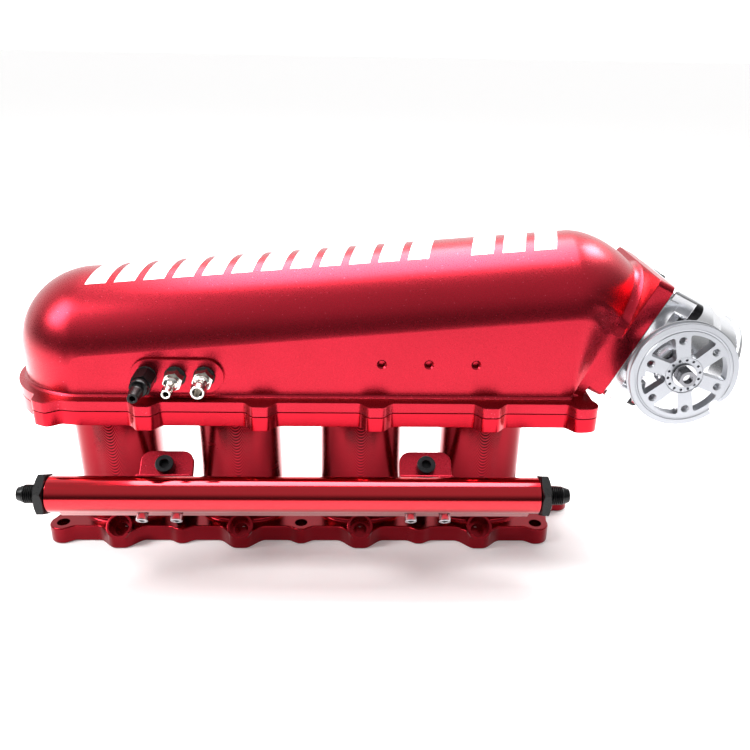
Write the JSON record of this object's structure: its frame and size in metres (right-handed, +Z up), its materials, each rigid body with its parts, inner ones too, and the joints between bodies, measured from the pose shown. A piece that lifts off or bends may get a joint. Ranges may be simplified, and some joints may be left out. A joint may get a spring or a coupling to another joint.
{
  "type": "intake manifold",
  "caption": "Billet intake manifold with oval runners, domed bolted plenum, fuel rail and an angled cable throttle body.",
  "frame": {"origin": "middle of the port row on the flat underside of the head flange", "axes": "+X along the port row towards the throttle body, -Y to the injector side, +Z up through the runners to the plenum"},
  "size_m": [0.5513, 0.1922, 0.2421],
  "materials": {
    "red_anodised": "satin red anodised",
    "polished_red": "polished red anodised",
    "black_anodised": "black anodised",
    "black_steel": "black oxide",
    "machined_aluminium": "bright machined",
    "nickel_plate": "nickel plated brass",
    "stainless_steel": "plain stainless",
    "rubber": "moulded black",
    "gasket": "fibre sheet",
    "black_plastic": "moulded black"
  },
  "bodies": {
    "manifold": {"runner_base": "red_anodised", "plenum_lid": "red_anodised", "plenum_seal": "rubber", "joint_bolt_01": "stainless_steel", "joint_bolt_02": "stainless_steel", "joint_bolt_03": "stainless_steel", "joint_bolt_04": "stainless_steel", "joint_bolt_05": "stainless_steel", "joint_bolt_06": "stainless_steel", "joint_bolt_07": "stainless_steel", "joint_bolt_08": "stainless_steel", "joint_bolt_09": "stainless_steel", "joint_bolt_10": "stainless_steel", "joint_bolt_11": "stainless_steel", "joint_bolt_12": "stainless_steel", "vacuum_washer_1": "rubber", "vacuum_washer_2": "rubber", "vacuum_washer_3": "rubber", "vacuum_check_fitting": "black_anodised", "vacuum_nipple_small": "nickel_plate", "vacuum_nipple_large": "nickel_plate", "fuel_rail": "polished_red", "rail_seal_left": "rubber", "rail_seal_right": "rubber", "rail_fitting_left": "black_anodised", "rail_fitting_right": "black_anodised", "rail_bracket_left": "red_anodised", "rail_bracket_right": "red_anodised", "bracket_bolt_left": "black_steel", "bracket_bolt_right": "black_steel", "rail_screw_1": "stainless_steel", "rail_screw_2": "stainless_steel", "rail_screw_3": "stainless_steel", "rail_screw_4": "stainless_steel", "throttle_housing": "machined_aluminium", "throttle_gasket": "gasket", "throttle_bolt_1": "black_steel", "throttle_bolt_2": "black_steel", "throttle_bolt_3": "black_steel", "throttle_bolt_4": "black_steel", "shaft_bush_front": "stainless_steel", "shaft_bush_rear": "stainless_steel", "idle_stop_screw": "stainless_steel", "idle_stop_nut": "stainless_steel", "position_sensor": "black_plastic", "sensor_screw_1": "stainless_steel", "sensor_screw_2": "stainless_steel", "return_spring": "stainless_steel"},
    "throttle_valve": {"throttle_shaft": "stainless_steel", "butterfly": "machined_aluminium", "butterfly_screw_1": "stainless_steel", "butterfly_screw_2": "stainless_steel", "cable_wheel": "machined_aluminium", "lock_washer": "stainless_steel", "shaft_nut": "stainless_steel"}
  },
  "joints": [
    {"name": "throttle_turn", "type": "hinge", "parent": "manifold", "child": "throttle_valve", "pos_m": [0.27212, 0, 0.15843], "axis": [0, 1, 0], "range_deg": [0, 80], "stiffness_Nm_per_rad": 0.4, "springref_deg": -34.38}
  ]
}
